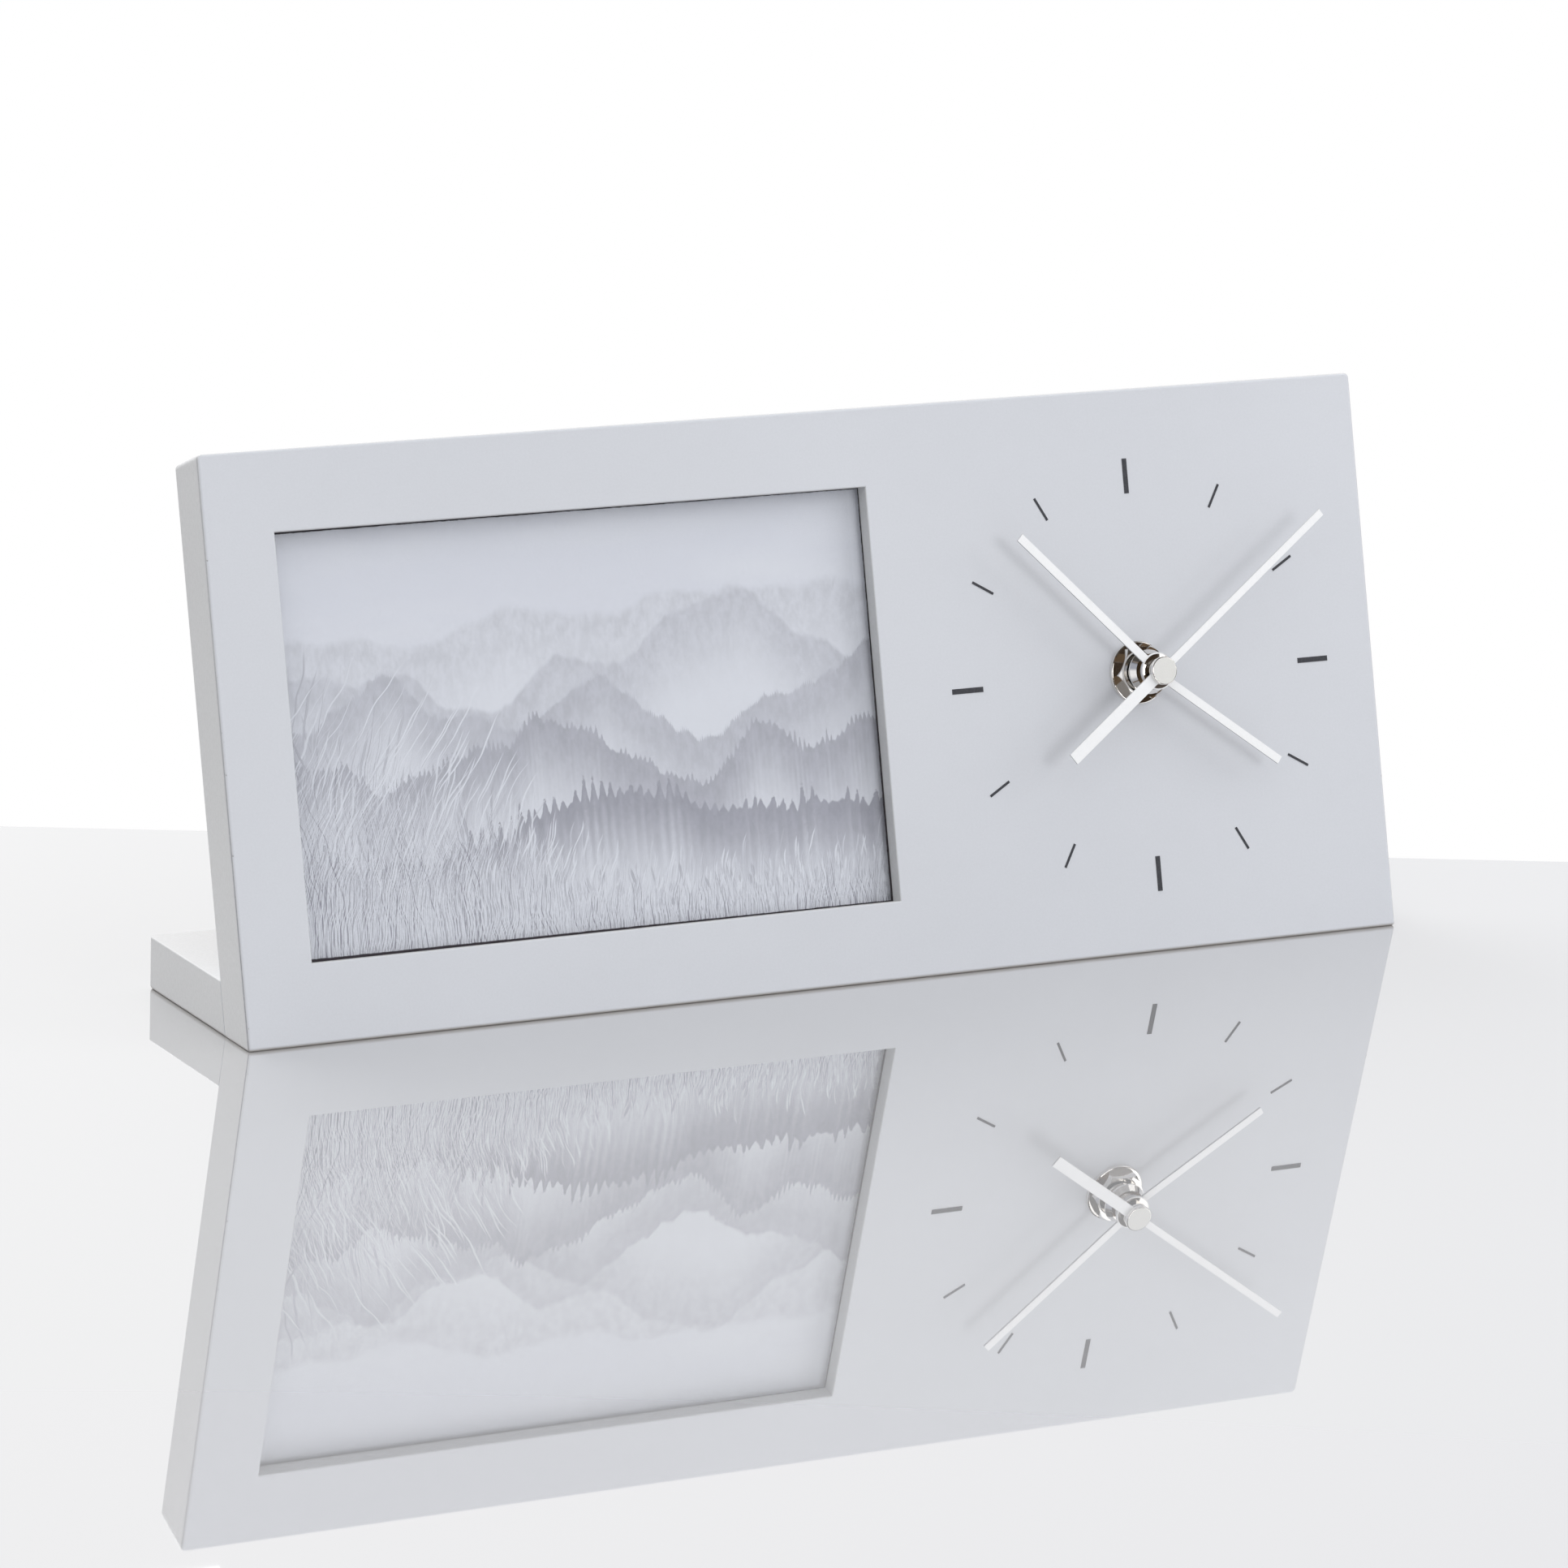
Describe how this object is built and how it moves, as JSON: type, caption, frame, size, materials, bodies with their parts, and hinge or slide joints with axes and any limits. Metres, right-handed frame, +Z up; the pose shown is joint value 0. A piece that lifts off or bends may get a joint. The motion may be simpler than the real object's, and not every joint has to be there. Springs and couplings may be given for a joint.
{
  "type": "photo frame clock",
  "caption": "Desk clock in a leaning painted board on a base board, with a landscape picture window beside a bar-marked dial with three hands.",
  "frame": {"origin": "middle of the footprint on the surface the clock stands on", "axes": "+X to the right along the front board, +Y to the rear, +Z up; the face looks along -Y and leans back 14.7 degrees"},
  "size_m": [0.28, 0.0529, 0.1202],
  "materials": {
    "board_paint": "satin pale grey paint on fibreboard",
    "dowel_wood": "bare beech",
    "clear_glass": "clear, polished",
    "print_paper": "matt monochrome print",
    "grey_card": "plain card",
    "hardboard": "plain brown hardboard",
    "zinc_steel": "zinc plated",
    "mark_ink": "printed charcoal ink",
    "hand_paint": "satin white paint",
    "nickel": "polished nickel plate",
    "washer_rubber": "matt black",
    "black_plastic": "fine moulded grain",
    "white_plastic": "natural acetal",
    "arbor_metal": "turned brass",
    "magnet": "dark bonded magnet",
    "stator_iron": "stamped soft iron",
    "coil_copper": "enamelled copper wire",
    "circuit_green": "solder mask",
    "chip_resin": "black resin",
    "crystal_can": "bright can",
    "battery_sleeve": "plain dark sleeve on a metal can",
    "contact_steel": "nickel plated spring strip"
  },
  "bodies": {
    "frame": {"front_panel": "board_paint", "base_board": "board_paint", "base_dowels": "dowel_wood", "window_glass": "clear_glass", "photo_print": "print_paper", "filler_card": "grey_card", "backing_board": "hardboard", "turn_button_screws": "zinc_steel", "hour_marks": "mark_ink", "threaded_bush": "nickel", "rubber_washer": "washer_rubber", "face_washer": "nickel", "hex_nut": "nickel", "movement_case": "black_plastic", "rear_cover": "black_plastic", "middle_plate": "white_plastic", "stator": "stator_iron", "coil_bobbin": "white_plastic", "coil": "coil_copper", "circuit_board": "circuit_green", "clock_chip": "chip_resin", "quartz_crystal": "crystal_can", "positive_contact": "contact_steel", "negative_contact": "contact_steel"},
    "minute": {"minute_arbor": "arbor_metal", "minute_hand": "hand_paint", "minute_hub": "nickel"},
    "hour": {"hour_wheel": "white_plastic", "hour_hand": "hand_paint", "hour_hub": "nickel"},
    "setting": {"motion_wheel": "white_plastic", "setting_knob": "black_plastic"},
    "second": {"second_wheel": "arbor_metal", "second_hand": "hand_paint", "second_hub": "nickel", "hand_cap": "nickel"},
    "third": {"third_wheel": "white_plastic"},
    "centre": {"centre_wheel": "white_plastic"},
    "intermediate": {"intermediate_wheel": "white_plastic"},
    "rotor": {"rotor": "white_plastic", "rotor_magnet": "magnet"},
    "battery": {"battery": "battery_sleeve"},
    "button_upper_left": {"turn_button_upper_left": "zinc_steel"},
    "button_lower_left": {"turn_button_lower_left": "zinc_steel"},
    "button_upper_right": {"turn_button_upper_right": "zinc_steel"},
    "button_lower_right": {"turn_button_lower_right": "zinc_steel"}
  },
  "joints": [
    {"name": "minute_turn", "type": "hinge", "parent": "frame", "child": "minute", "pos_m": [0.079, -0.01082, 0.05978], "axis": [0, 0.9673, -0.2538], "continuous": true},
    {"name": "hour_turn", "type": "hinge", "parent": "frame", "child": "hour", "pos_m": [0.079, -0.01082, 0.05978], "axis": [0, 0.9673, -0.2538], "continuous": true},
    {"name": "setting_turn", "type": "hinge", "parent": "frame", "child": "setting", "pos_m": [0.06915, -0.01038, 0.06146], "axis": [0, 0.9673, -0.2538], "continuous": true},
    {"name": "second_turn", "type": "hinge", "parent": "frame", "child": "second", "pos_m": [0.079, -0.01082, 0.05978], "axis": [0, 0.9673, -0.2538], "continuous": true},
    {"name": "third_turn", "type": "hinge", "parent": "frame", "child": "third", "pos_m": [0.08771, -0.01121, 0.05829], "axis": [0, 0.9673, -0.2538], "continuous": true},
    {"name": "centre_turn", "type": "hinge", "parent": "frame", "child": "centre", "pos_m": [0.079, -0.01082, 0.05978], "axis": [0, 0.9673, -0.2538], "continuous": true},
    {"name": "intermediate_turn", "type": "hinge", "parent": "frame", "child": "intermediate", "pos_m": [0.079, -0.0086, 0.06824], "axis": [0, 0.9673, -0.2538], "continuous": true},
    {"name": "rotor_turn", "type": "hinge", "parent": "frame", "child": "rotor", "pos_m": [0.08452, -0.00742, 0.07272], "axis": [0, 0.9673, -0.2538], "continuous": true},
    {"name": "turn_upper_left", "type": "hinge", "parent": "frame", "child": "button_upper_left", "pos_m": [-0.1346, 0.00977, 0.08801], "axis": [0, 0.9673, -0.2538], "range_deg": [-90, 90]},
    {"name": "turn_lower_left", "type": "hinge", "parent": "frame", "child": "button_lower_left", "pos_m": [-0.1346, -0.00469, 0.03288], "axis": [0, 0.9673, -0.2538], "range_deg": [-90, 90]},
    {"name": "turn_upper_right", "type": "hinge", "parent": "frame", "child": "button_upper_right", "pos_m": [0.026, 0.00977, 0.08801], "axis": [0, 0.9673, -0.2538], "range_deg": [-90, 90]},
    {"name": "turn_lower_right", "type": "hinge", "parent": "frame", "child": "button_lower_right", "pos_m": [0.026, -0.00469, 0.03288], "axis": [0, 0.9673, -0.2538], "range_deg": [-90, 90]},
    {"name": "battery_slide", "type": "slide", "parent": "frame", "child": "battery", "axis": [0, 0.9673, -0.2538], "range_m": [0, 0.02]}
  ],
  "couplings": [
    {"joint": "hour_turn", "follows": "minute_turn", "ratio": 0.083333},
    {"joint": "setting_turn", "follows": "minute_turn", "ratio": -0.33333},
    {"joint": "third_turn", "follows": "second_turn", "ratio": -0.13333},
    {"joint": "centre_turn", "follows": "second_turn", "ratio": 0.016667},
    {"joint": "intermediate_turn", "follows": "second_turn", "ratio": -6},
    {"joint": "rotor_turn", "follows": "second_turn", "ratio": 30}
  ]
}
